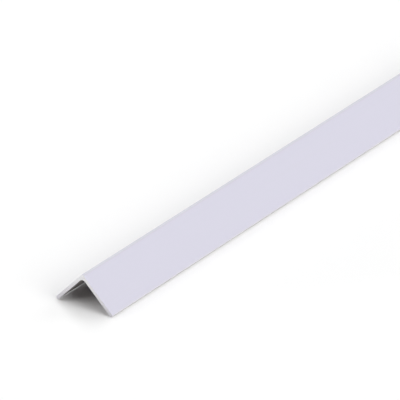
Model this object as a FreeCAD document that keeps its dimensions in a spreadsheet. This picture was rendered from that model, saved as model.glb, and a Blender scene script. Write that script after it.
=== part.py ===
"""Corner guard moulding: one length of white plastic angle, lying like a roof on its two free edges.

The section lies in the X-Z plane with its ridge over the origin, and it runs along Y.
The origin is on the floor, midway along the length. Sizes are in millimetres and degrees.
"""

import FreeCAD, Part
import math
import os
import Sketcher

NODE = "corner_guard"

# Driving dimensions.
SIZES = {
    "length": 1000.0,  # one stock length, sawn square at both ends
    "leg": 25.0,  # width of each leg, from the sharp outer corner to its free edge
    "wall": 1.8,  # thickness of both legs
    "legs_angle": 90.0,  # between the two legs
    "nose_radius": 1.2,  # outer corner, along the ridge
    "root_radius": 2.2,  # inner corner, under the ridge
    "lip_radius": 0.65,  # both corners of each free edge
    "end_break": 0.2,  # chamfer that takes the burr off each sawn end
}

# The corners of a free edge leave at least a fifth of the wall flat between them.
LIP_RADIUS = "min(Sizes.lip_radius; Sizes.wall * 2 / 5)"
HALF_ANGLE = "(Sizes.legs_angle * 0.5 deg)"
# The lowest point of each rounded free edge touches the floor, which sets the sharp ridge's height.
RIDGE_HEIGHT = (
    f"(Sizes.leg - {LIP_RADIUS}) * cos{HALF_ANGLE}"
    f" + (Sizes.wall - {LIP_RADIUS}) * sin{HALF_ANGLE} + {LIP_RADIUS}"
)

# The section's six lines, in order round the outline, and the two ends of a line.
RIGHT_OUTER, RIGHT_LIP, RIGHT_INNER, LEFT_INNER, LEFT_LIP, LEFT_OUTER = range(6)
START, END = range(1, 3)


def write_sizes(document):
    """The sheet of driving dimensions, each in a cell of its own name."""
    sheet = document.addObject("Spreadsheet::Sheet", "Sizes")
    for row, (name, value) in enumerate(SIZES.items(), start=1):
        sheet.set(f"A{row}", name)
        sheet.set(f"B{row}", str(value))
        sheet.setAlias(f"B{row}", name)
    document.recompute()


def start_corners():
    """The section's corners before the constraints place them, from the ridge round by the right leg."""
    half = math.radians(SIZES["legs_angle"] / 2)
    down_leg = FreeCAD.Vector(math.sin(half), -math.cos(half), 0)
    into_wall = FreeCAD.Vector(-math.cos(half), -math.sin(half), 0) * SIZES["wall"]
    ridge = FreeCAD.Vector(0, SIZES["leg"], 0)
    outer_tip = ridge + down_leg * SIZES["leg"]
    inner_tip = outer_tip + into_wall
    root = ridge - FreeCAD.Vector(0, SIZES["wall"] / math.sin(half), 0)
    mirrored = [FreeCAD.Vector(-point.x, point.y, 0) for point in (inner_tip, outer_tip)]
    return [ridge, outer_tip, inner_tip, root, *mirrored]


def draw_section(body):
    """The angle's section with sharp corners, the same on both sides of the ridge."""
    sketch = body.newObject("Sketcher::SketchObject", "Section")
    plane = next(item for item in body.Origin.OriginFeatures if item.Role == "XZ_Plane")
    sketch.AttachmentSupport = [(plane, "")]
    sketch.MapMode = "FlatFace"

    corners = start_corners()
    for first, second in zip(corners, corners[1:] + corners[:1]):
        sketch.addGeometry(Part.LineSegment(first, second))
    for line in range(len(corners)):
        following = (line + 1) % len(corners)
        sketch.addConstraint(Sketcher.Constraint("Coincident", line, END, following, START))

    # The ridge and the root lie on the sketch's upright axis, and the legs mirror each other about it.
    upright_axis = -2
    sketch.addConstraint(Sketcher.Constraint("PointOnObject", RIGHT_OUTER, START, upright_axis))
    sketch.addConstraint(Sketcher.Constraint("PointOnObject", RIGHT_INNER, END, upright_axis))
    for right, left in ((RIGHT_OUTER, LEFT_LIP), (RIGHT_LIP, LEFT_INNER)):
        mirror = Sketcher.Constraint("Symmetric", right, END, left, END, upright_axis)
        sketch.addConstraint(mirror)

    # Each leg has one thickness and a square free edge.
    sketch.addConstraint(Sketcher.Constraint("Perpendicular", RIGHT_OUTER, RIGHT_LIP))
    sketch.addConstraint(Sketcher.Constraint("Parallel", RIGHT_OUTER, RIGHT_INNER))

    between_legs = math.radians(SIZES["legs_angle"])
    sizes = {
        "leg": ("Sizes.leg", Sketcher.Constraint("Distance", RIGHT_OUTER, SIZES["leg"])),
        "wall": ("Sizes.wall", Sketcher.Constraint("Distance", RIGHT_LIP, SIZES["wall"])),
        "legs_angle": (
            "Sizes.legs_angle * 1 deg",
            Sketcher.Constraint("Angle", LEFT_OUTER, END, RIGHT_OUTER, START, between_legs),
        ),
        "ridge_height": (
            RIDGE_HEIGHT,
            Sketcher.Constraint("DistanceY", RIGHT_OUTER, START, SIZES["leg"]),
        ),
    }
    for name, (expression, constraint) in sizes.items():
        sketch.renameConstraint(sketch.addConstraint(constraint), name)
        sketch.setExpression(f"Constraints.{name}", expression)
    return sketch


def edges_along(feature, sketch, *line_ends):
    """The names of the feature's long edges that run through these corners of the section."""
    corners = [sketch.getPoint(line, end) for line, end in line_ends]
    touch = 1e-4
    names = []
    for number, edge in enumerate(feature.Shape.Edges, start=1):
        first, last = edge.Vertexes[0].Point, edge.Vertexes[-1].Point
        runs_along = math.hypot(last.x - first.x, last.z - first.z) < touch
        meets_corner = any(math.hypot(first.x - c.x, first.z - c.y) < touch for c in corners)
        if runs_along and meets_corner:
            names.append(f"Edge{number}")
    return names


def end_faces(feature):
    """The names of the two sawn faces, which look along the length."""
    square = 0.999
    names = []
    for number, face in enumerate(feature.Shape.Faces, start=1):
        if abs(face.normalAt(0, 0).y) > square:
            names.append(f"Face{number}")
    return names


def round_off(body, base, name, edges, radius):
    """Rounds these edges of the base to the radius."""
    fillet = body.newObject("PartDesign::Fillet", name)
    fillet.Base = (base, edges)
    fillet.setExpression("Radius", radius)
    body.Document.recompute()
    return fillet


def make_guard(document):
    """The whole moulding: the section run out to its length, its corners rounded and its ends eased."""
    body = document.addObject("PartDesign::Body", "CornerGuard")
    body.Label = NODE
    body.Placement = FreeCAD.Placement()
    section = draw_section(body)

    run = body.newObject("PartDesign::Pad", "Run")
    run.Profile = section
    run.SideType = "Symmetric"
    run.setExpression("Length", "Sizes.length")
    document.recompute()

    ridge = edges_along(run, section, (RIGHT_OUTER, START))
    nose = round_off(body, run, "Nose", ridge, "Sizes.nose_radius")
    under_ridge = edges_along(nose, section, (RIGHT_INNER, END))
    root = round_off(body, nose, "Root", under_ridge, "Sizes.root_radius")
    lip_ends = [(line, end) for line in (RIGHT_LIP, LEFT_LIP) for end in (START, END)]
    free_edges = edges_along(root, section, *lip_ends)
    lips = round_off(body, root, "Lips", free_edges, LIP_RADIUS)

    ends = body.newObject("PartDesign::Chamfer", "SawnEnds")
    ends.Base = (lips, end_faces(lips))
    ends.setExpression("Size", "Sizes.end_break")
    document.recompute()
    return body


def check(document, body):
    """Stops if any object failed or the moulding isn't one sound solid."""
    for item in document.Objects:
        if "Invalid" in item.State or "Error" in item.State:
            raise RuntimeError(f"{item.Label} failed: {item.State}")
    if body.Shape.isNull() or not body.Shape.isValid():
        raise RuntimeError(f"{body.Label} has no sound shape")
    if len(body.Shape.Solids) != 1:
        raise RuntimeError(f"{body.Label} isn't one solid")


def main():
    document = FreeCAD.newDocument("corner_guard_moulding")
    write_sizes(document)
    body = make_guard(document)
    check(document, body)
    os.makedirs("parts", exist_ok=True)
    body.Shape.exportStep(f"parts/{body.Label}.step")


main()
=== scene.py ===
"""Dresses the corner guard moulding: a white plastic angle on a pale floor, under soft studio light."""

import math

import bpy
from mathutils import Matrix, Vector


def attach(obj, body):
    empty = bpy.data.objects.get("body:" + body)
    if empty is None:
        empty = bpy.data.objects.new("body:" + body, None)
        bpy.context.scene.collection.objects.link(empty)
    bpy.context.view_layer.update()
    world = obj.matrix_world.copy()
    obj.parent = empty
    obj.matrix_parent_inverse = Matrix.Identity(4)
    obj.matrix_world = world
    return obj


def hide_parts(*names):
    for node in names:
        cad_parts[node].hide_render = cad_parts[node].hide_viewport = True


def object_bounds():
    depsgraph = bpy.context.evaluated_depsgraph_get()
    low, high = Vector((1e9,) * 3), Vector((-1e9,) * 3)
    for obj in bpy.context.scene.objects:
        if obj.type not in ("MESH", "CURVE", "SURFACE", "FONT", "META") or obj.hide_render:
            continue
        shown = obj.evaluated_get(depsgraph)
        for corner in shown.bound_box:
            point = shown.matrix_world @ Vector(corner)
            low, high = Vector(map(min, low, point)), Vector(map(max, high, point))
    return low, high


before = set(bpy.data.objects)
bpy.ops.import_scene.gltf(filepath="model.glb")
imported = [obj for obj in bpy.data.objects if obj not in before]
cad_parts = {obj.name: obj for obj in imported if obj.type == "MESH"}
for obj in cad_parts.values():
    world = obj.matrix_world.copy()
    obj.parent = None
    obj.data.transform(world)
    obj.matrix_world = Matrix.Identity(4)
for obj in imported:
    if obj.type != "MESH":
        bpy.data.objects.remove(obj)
cad_low, cad_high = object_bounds()

# The moulding's section, in metres, and its length, which the CAD model's bounds give.
LEG = 0.025
WALL = 0.0018
HALF_ANGLE = math.radians(45.0)
NOSE_RADIUS = 0.0012
ROOT_RADIUS = 0.0022
LIP_RADIUS = 0.00065
END_BREAK = 0.0002
LENGTH = cad_high.y - cad_low.y
END_Y = LENGTH / 2

# The sharp corners of the section, before they are rounded.
RIDGE_Z = (
    (LEG - LIP_RADIUS) * math.cos(HALF_ANGLE)
    + (WALL - LIP_RADIUS) * math.sin(HALF_ANGLE)
    + LIP_RADIUS
)
ROOT_Z = RIDGE_Z - WALL / math.sin(HALF_ANGLE)
# Places closer together than this count as one.
TOUCH = 1e-5

# Facets round each corner, the profile that makes them round, and the sharpest turn shaded smooth.
NOSE_FACETS = 10
ROOT_FACETS = 12
LIP_FACETS = 6
BREAK_FACETS = 2
ROUND_PROFILE = 0.5
SMOOTH_ANGLE = math.radians(35.0)

# Colours, as the share of red, green and blue light that the surface gives back.
SKIN_TINT = (0.672, 0.660, 0.772)
SKIN_CLOUD_TINT = (0.682, 0.670, 0.780)
# Painted shade: the inner faces are the same plastic, tinted darker for the shade inside the angle.
INNER_SHADED_TINT = (0.558, 0.538, 0.550)
INNER_SHADED_CLOUD_TINT = (0.569, 0.549, 0.560)
DIE_LINE_TINT = (0.655, 0.645, 0.715)
# Painted shade on the ridge's rounding.
RIDGE_SHADE_TINT = (0.632, 0.622, 0.694)
# Painted light on the free edges, much paler where they curve under towards the floor.
LIP_LIGHT_TINT = (0.960, 0.950, 1.000)
SAWN_TINT = (0.950, 0.950, 0.985)
SAWN_MARK_TINT = (0.915, 0.915, 0.945)
# Painted shade on the sawn ends, darker towards the floor.
SAWN_FOOT_SHADE_TINT = (0.700, 0.690, 0.745)

# How far below the sharp ridge, or above the floor, a painted shade or light starts and where it is
# full.
RIDGE_SHADE_SPAN = (0.0012, 0.0006)
LIP_LIGHT_SPAN = (0.0014, 0.0009)
SAWN_FOOT_SHADE_SPAN = (0.015, 0.002)

# Roughness of the smoothest patches and of the dullest, and how far the plastic bends light.
SKIN_ROUGHNESS = (0.46, 0.58)
INNER_ROUGHNESS = (0.44, 0.58)
SAWN_ROUGHNESS = (0.55, 0.75)
PLASTIC_IOR = 1.53

# Marks in the plastic: how many to the metre along X, Y and Z.
CLOUDS = (28, 9, 28)
DIE_LINES = (1400, 5, 1400)
PORES = (2600, 2600, 2600)
SAW_MARKS = (350, 350, 4200)
SAW_GRAIN = (3000, 3000, 3000)
SAW_SLANT = math.radians(24)
MARK_DETAIL = 3.0

# Most of a mark's values lie between the first two numbers, and only its strongest between the others.
MOST_OF_IT = (0.35, 0.65)
STRONGEST = (0.55, 0.75)
# How far the strongest die lines take their own tint, and how high fine marks stand beside coarse ones.
DIE_LINE_SHARE = 0.25
FINE_SHARE = 0.5

# How high the marks stand, in metres.
SKIN_RELIEF = 0.000007
SAWN_RELIEF = 0.00003

# A face that looks along the length to within this angle is a sawn end.
SAWN_TURN = math.radians(30.0)

# The floor as it is seen, the smaller share that it throws back onto the object, and its side.
FLOOR_SEEN = (1.0, 1.0, 1.0)
FLOOR_THROWN = (0.380, 0.362, 0.336)
FLOOR_SIDE = 60.0
# The floor touches the right free edge. It falls this far below the left one, so light gets under.
FLOOR_GAP = 0.00035
# It is lowered a little more, so that it doesn't cut into the right free edge.
FLOOR_CLEARANCE = 0.00002

# The studio round the floor, how bright it is in the plastic's gloss, and how far off its lamps stand.
WORLD_COLOUR = (1.0, 1.0, 1.0, 1.0)
WORLD_MIRRORED = 0.4
LAMP_DISTANCE = 3.0

# The camera, placed from the foot of the near end, and how far it sees.
CAMERA_AZIMUTH = math.radians(38.57)
CAMERA_ELEVATION = math.radians(27.23)
CAMERA_ROLL = math.radians(2.46)
CAMERA_DISTANCE = 1.9205
CAMERA_ACROSS = 0.05789
CAMERA_UP = 0.04962
CAMERA_LENS_MM = 359.4
CAMERA_REACH = 100.0


def select_edges(strip, wanted):
    """Selects only the edges that are wanted by the places of their two ends."""
    bpy.ops.object.mode_set(mode="EDIT")
    bpy.ops.mesh.select_mode(type="EDGE")
    bpy.ops.mesh.select_all(action="DESELECT")
    bpy.ops.object.mode_set(mode="OBJECT")
    points = strip.data.vertices
    for edge in strip.data.edges:
        first, last = (points[number].co for number in edge.vertices)
        edge.select = wanted(first, last)
    bpy.ops.object.mode_set(mode="EDIT")


def round_edges(width, facets):
    """Rounds the selected edges, starting this far from them on each side."""
    bpy.ops.mesh.bevel(
        offset_type="OFFSET",
        offset=width,
        segments=facets,
        profile=ROUND_PROFILE,
        affect="EDGES",
    )


def model_leg():
    """The right leg as a slab, sloped down from the ridge and mitred at the middle."""
    bpy.ops.object.select_all(action="DESELECT")
    bpy.ops.mesh.primitive_cube_add(size=1.0)
    strip = bpy.context.object
    strip.name = "guard_strip"
    strip.data.name = "guard_strip"
    bpy.ops.object.mode_set(mode="EDIT")
    bpy.ops.mesh.select_all(action="SELECT")
    # The slab starts this far past the ridge, so that the mitre cuts right through it.
    spare = WALL
    bpy.ops.transform.resize(value=(LEG + spare, LENGTH, WALL), center_override=(0, 0, 0))
    bpy.ops.transform.translate(value=((LEG - spare) / 2, 0, -WALL / 2))
    slope = math.pi / 2 - HALF_ANGLE
    bpy.ops.transform.rotate(value=-slope, orient_axis="Y", center_override=(0, 0, 0))
    bpy.ops.transform.translate(value=(0, 0, RIDGE_Z))
    bpy.ops.mesh.select_all(action="SELECT")
    bpy.ops.mesh.bisect(plane_co=(0, 0, 0), plane_no=(1, 0, 0), clear_inner=True)
    bpy.ops.object.mode_set(mode="OBJECT")
    return strip


def in_the_middle(first, last):
    """Whether an edge lies in the plane between the two legs."""
    return max(abs(first.x), abs(last.x)) < TOUCH


def runs_along(first, last):
    """Whether an edge runs the whole length."""
    return abs(first.y - last.y) > END_Y


def on_an_end(first, last):
    """Whether an edge lies on one of the sawn ends."""
    return min(abs(first.y), abs(last.y)) > END_Y - TOUCH and not runs_along(first, last)


def add_other_leg(strip):
    """Mirrors the leg across the mitre, and joins the two halves of each end into one face."""
    mirror = strip.modifiers.new("Other leg", "MIRROR")
    mirror.merge_threshold = TOUCH
    bpy.ops.object.modifier_apply(modifier=mirror.name)
    bpy.ops.object.mode_set(mode="EDIT")
    bpy.ops.mesh.select_all(action="SELECT")
    bpy.ops.mesh.normals_make_consistent(inside=False)
    select_edges(strip, lambda first, last: in_the_middle(first, last) and not runs_along(first, last))
    bpy.ops.mesh.dissolve_edges()


def round_corners(strip):
    """Rounds the ridge, the root under it and both free edges, then eases the sawn ends."""
    # A round of radius 1 between the legs meets them this far from their corner.
    tangent = 1 / math.tan(HALF_ANGLE)
    between = (RIDGE_Z + ROOT_Z) / 2
    free_edge_top = WALL * math.sin(HALF_ANGLE)

    select_edges(strip, lambda first, last: in_the_middle(first, last) and first.z > between)
    round_edges(NOSE_RADIUS * tangent, NOSE_FACETS)
    select_edges(strip, lambda first, last: in_the_middle(first, last) and first.z < between)
    round_edges(ROOT_RADIUS * tangent, ROOT_FACETS)
    select_edges(strip, lambda first, last: runs_along(first, last) and first.z < free_edge_top)
    round_edges(LIP_RADIUS, LIP_FACETS)
    select_edges(strip, on_an_end)
    round_edges(END_BREAK, BREAK_FACETS)
    bpy.ops.object.mode_set(mode="OBJECT")


def smooth_guard(strip):
    """Shades the rounded corners smooth and keeps the broad faces flat."""
    bpy.ops.object.shade_smooth_by_angle(angle=SMOOTH_ANGLE)
    weighted = strip.modifiers.new("Flat faces", "WEIGHTED_NORMAL")
    weighted.keep_sharp = True
    bpy.ops.object.modifier_apply(modifier=weighted.name)


def add_node(tree, kind, inputs=None, **settings):
    """A new node with these settings, its inputs set to values or joined to other nodes' outputs."""
    made = tree.nodes.new(kind)
    for name, value in settings.items():
        setattr(made, name, value)
    for name, value in (inputs or {}).items():
        if isinstance(value, bpy.types.NodeSocket):
            tree.links.new(value, made.inputs[name])
        else:
            made.inputs[name].default_value = value
    return made


def mix_colours(tree, share, first, second):
    """The first colour turning into the second as the share goes from 0 to 1."""
    mix = tree.nodes.new("ShaderNodeMix")
    mix.data_type = "RGBA"
    sockets = {"Factor_Float": share, "A_Color": first, "B_Color": second}
    for socket in mix.inputs:
        value = sockets.get(socket.identifier)
        if isinstance(value, bpy.types.NodeSocket):
            tree.links.new(value, socket)
        elif isinstance(value, tuple):
            socket.default_value = (*value, 1.0)
    return next(socket for socket in mix.outputs if socket.identifier == "Result_Color")


def spread(tree, value, span, result=(0.0, 1.0)):
    """The value stretched so that the ends of the span become those of the result."""
    inputs = {
        "Value": value,
        "From Min": span[0],
        "From Max": span[1],
        "To Min": result[0],
        "To Max": result[1],
    }
    return add_node(tree, "ShaderNodeMapRange", inputs).outputs["Result"]


def combine(tree, operation, first, second):
    """Two values joined by a sum, product or the like."""
    math_node = add_node(tree, "ShaderNodeMath", operation=operation)
    for socket, value in zip(math_node.inputs, (first, second)):
        if isinstance(value, bpy.types.NodeSocket):
            tree.links.new(value, socket)
        else:
            socket.default_value = value
    return math_node.outputs["Value"]


def noise(tree, place, number):
    """Soft random marks, this many to the metre along X, Y and Z."""
    mapped = add_node(tree, "ShaderNodeMapping", {"Vector": place, "Scale": number})
    inputs = {"Vector": mapped.outputs["Vector"], "Scale": 1.0, "Detail": MARK_DETAIL}
    return add_node(tree, "ShaderNodeTexNoise", inputs).outputs["Fac"]


def height_of(tree, place):
    """How high above the floor a point of the surface lies."""
    return add_node(tree, "ShaderNodeSeparateXYZ", {"Vector": place}).outputs["Z"]


def add_relief(tree, shader, coarse, fine, height):
    """Raises the surface by the coarse marks and a share of the fine ones."""
    marks = combine(tree, "ADD", coarse, combine(tree, "MULTIPLY", fine, FINE_SHARE))
    bump = add_node(tree, "ShaderNodeBump", {"Height": marks, "Distance": height})
    tree.links.new(bump.outputs["Normal"], shader.inputs["Normal"])


def new_material(name):
    """A plastic with its node tree, its shader and the object's own coordinates."""
    material = bpy.data.materials.new(name)
    material.use_nodes = True
    tree = material.node_tree
    shader = tree.nodes["Principled BSDF"]
    shader.inputs["IOR"].default_value = PLASTIC_IOR
    place = add_node(tree, "ShaderNodeTexCoord").outputs["Object"]
    return material, tree, shader, place


def extruded_skin(name, tint, cloud_tint, roughness):
    """Satin plastic from the die: faint clouds, fine lines, painted shade at the ridge, painted light
    by the floor.
    """
    material, tree, shader, place = new_material(name)
    clouds = noise(tree, place, CLOUDS)
    die_lines = noise(tree, place, DIE_LINES)
    pores = noise(tree, place, PORES)

    colour = mix_colours(tree, spread(tree, clouds, MOST_OF_IT), tint, cloud_tint)
    line_share = combine(tree, "MULTIPLY", spread(tree, die_lines, STRONGEST), DIE_LINE_SHARE)
    colour = mix_colours(tree, line_share, colour, DIE_LINE_TINT)

    height = height_of(tree, place)
    # Painted shade on the ridge's rounding.
    below_ridge = combine(tree, "SUBTRACT", RIDGE_Z, height)
    colour = mix_colours(tree, spread(tree, below_ridge, RIDGE_SHADE_SPAN), colour, RIDGE_SHADE_TINT)
    # Painted light near the floor, brightening the free edges.
    colour = mix_colours(tree, spread(tree, height, LIP_LIGHT_SPAN), colour, LIP_LIGHT_TINT)
    tree.links.new(colour, shader.inputs["Base Color"])

    tree.links.new(spread(tree, clouds, MOST_OF_IT, roughness), shader.inputs["Roughness"])
    add_relief(tree, shader, die_lines, pores, SKIN_RELIEF)
    return material


def sawn_end():
    """The cut plastic at both ends: dull, with the saw's marks, and painted shade towards the floor."""
    material, tree, shader, place = new_material("sawn_end")
    turned = add_node(tree, "ShaderNodeMapping", {"Vector": place, "Rotation": (0, SAW_SLANT, 0)})
    marks = noise(tree, turned.outputs["Vector"], SAW_MARKS)
    grain = noise(tree, place, SAW_GRAIN)

    colour = mix_colours(tree, spread(tree, marks, MOST_OF_IT), SAWN_TINT, SAWN_MARK_TINT)
    # Painted shade, darker towards the floor.
    foot_shade_share = spread(tree, height_of(tree, place), SAWN_FOOT_SHADE_SPAN)
    colour = mix_colours(tree, foot_shade_share, colour, SAWN_FOOT_SHADE_TINT)
    tree.links.new(colour, shader.inputs["Base Color"])
    tree.links.new(spread(tree, grain, MOST_OF_IT, SAWN_ROUGHNESS), shader.inputs["Roughness"])
    add_relief(tree, shader, marks, grain, SAWN_RELIEF)
    return material


def finish_guard(strip):
    """The skin and the sawn ends get their own finishes, and the inner faces get the skin in painted
    shade.
    """
    finishes = (
        extruded_skin("outer_skin", SKIN_TINT, SKIN_CLOUD_TINT, SKIN_ROUGHNESS),
        extruded_skin("inner_face", INNER_SHADED_TINT, INNER_SHADED_CLOUD_TINT, INNER_ROUGHNESS),
        sawn_end(),
    )
    outer, inner, sawn = range(len(finishes))
    strip.data.materials.clear()
    for finish in finishes:
        strip.data.materials.append(finish)
    for face in strip.data.polygons:
        looks_in = face.normal.z < 0 and face.normal.x * face.center.x < TOUCH
        if abs(face.normal.y) > math.cos(SAWN_TURN):
            face.material_index = sawn
        elif looks_in:
            face.material_index = inner
        else:
            face.material_index = outer


def make_guard():
    """The whole moulding, in the place of its plain solid."""
    strip = model_leg()
    add_other_leg(strip)
    round_corners(strip)
    smooth_guard(strip)
    finish_guard(strip)
    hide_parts("corner_guard")
    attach(strip, "root")


def seen_directly(tree):
    """1 for rays from the camera, from a gloss or through glass, and 0 for all other rays."""
    path = add_node(tree, "ShaderNodeLightPath")
    shiny = combine(tree, "MAXIMUM", path.outputs["Is Glossy Ray"], path.outputs["Is Transmission Ray"])
    return combine(tree, "MAXIMUM", path.outputs["Is Camera Ray"], shiny)


def make_floor():
    """A plain pale floor that keeps the object's soft shadow."""
    bpy.ops.object.select_all(action="DESELECT")
    footing = (LEG - LIP_RADIUS) * math.sin(HALF_ANGLE) - (WALL - LIP_RADIUS) * math.cos(HALF_ANGLE)
    fall = math.atan2(FLOOR_GAP, 2 * footing)
    bpy.ops.mesh.primitive_plane_add(
        size=FLOOR_SIDE,
        location=(0, 0, -FLOOR_GAP / 2 - FLOOR_CLEARANCE),
        rotation=(0, -fall, 0),
    )
    floor = bpy.context.object
    floor.name = "floor"
    material = bpy.data.materials.new("pale_floor")
    material.use_nodes = True
    tree = material.node_tree
    tree.nodes.clear()
    colour = mix_colours(tree, seen_directly(tree), FLOOR_THROWN, FLOOR_SEEN)
    matt = add_node(tree, "ShaderNodeBsdfDiffuse", {"Color": colour})
    add_node(tree, "ShaderNodeOutputMaterial", {"Surface": matt.outputs["BSDF"]})
    floor.data.materials.append(material)


def make_world():
    """White where the camera sees it, grey where a gloss does, and no light of its own."""
    world = bpy.data.worlds.new("studio")
    world.use_nodes = True
    tree = world.node_tree
    tree.nodes.clear()
    path = add_node(tree, "ShaderNodeLightPath")
    mirrored = combine(tree, "MULTIPLY", path.outputs["Is Glossy Ray"], WORLD_MIRRORED)
    strength = combine(tree, "MAXIMUM", path.outputs["Is Camera Ray"], mirrored)
    light = add_node(tree, "ShaderNodeBackground", {"Color": WORLD_COLOUR, "Strength": strength})
    add_node(tree, "ShaderNodeOutputWorld", {"Surface": light.outputs["Background"]})
    bpy.context.scene.world = world


def add_lamp(name, azimuth, elevation, width, strength):
    """A broad, even light. In degrees, azimuth 0 is in front, along -Y, and 90 is to the right."""
    lamp = bpy.data.lights.new(name, "SUN")
    lamp.angle = math.radians(width)
    lamp.energy = strength
    placed = bpy.data.objects.new(name, lamp)
    turn, tilt = math.radians(azimuth), math.radians(elevation)
    towards = Vector(
        (math.sin(turn) * math.cos(tilt), -math.cos(turn) * math.cos(tilt), math.sin(tilt))
    )
    placed.rotation_euler = towards.to_track_quat("Z", "Y").to_euler()
    placed.location = towards * LAMP_DISTANCE
    bpy.context.scene.collection.objects.link(placed)


def place_camera():
    """The photograph's view: down onto the right leg, with the near end at the lower left."""
    back = Vector(
        (
            math.sin(CAMERA_AZIMUTH) * math.cos(CAMERA_ELEVATION),
            -math.cos(CAMERA_AZIMUTH) * math.cos(CAMERA_ELEVATION),
            math.sin(CAMERA_ELEVATION),
        )
    )
    level = Vector((math.cos(CAMERA_AZIMUTH), math.sin(CAMERA_AZIMUTH), 0))
    upward = back.cross(level)
    near_foot = Vector((0, -END_Y, 0))
    place = near_foot + back * CAMERA_DISTANCE + level * CAMERA_ACROSS + upward * CAMERA_UP
    right = level * math.cos(CAMERA_ROLL) - upward * math.sin(CAMERA_ROLL)
    up = level * math.sin(CAMERA_ROLL) + upward * math.cos(CAMERA_ROLL)

    lens = bpy.data.cameras.new("camera")
    lens.lens = CAMERA_LENS_MM
    lens.clip_end = CAMERA_REACH
    camera = bpy.data.objects.new("camera", lens)
    turned = Matrix((right, up, back)).transposed().to_4x4()
    camera.matrix_world = Matrix.Translation(place) @ turned
    bpy.context.scene.collection.objects.link(camera)
    bpy.context.scene.camera = camera


make_guard()
make_floor()
make_world()
add_lamp("overhead_softbox", azimuth=0, elevation=90, width=78, strength=0.87)
add_lamp("right_softbox", azimuth=86, elevation=27, width=40, strength=1.91)
add_lamp("back_right_softbox", azimuth=150, elevation=30, width=40, strength=0.60)
add_lamp("back_left_softbox", azimuth=225, elevation=38, width=30, strength=0.92)
add_lamp("left_softbox", azimuth=270, elevation=36, width=16, strength=0.33)
add_lamp("front_left_softbox", azimuth=315, elevation=40, width=40, strength=0.50)
add_lamp("front_left_card", azimuth=315, elevation=3, width=6, strength=1.66)
place_camera()
bpy.context.scene.view_settings.view_transform = "Standard"
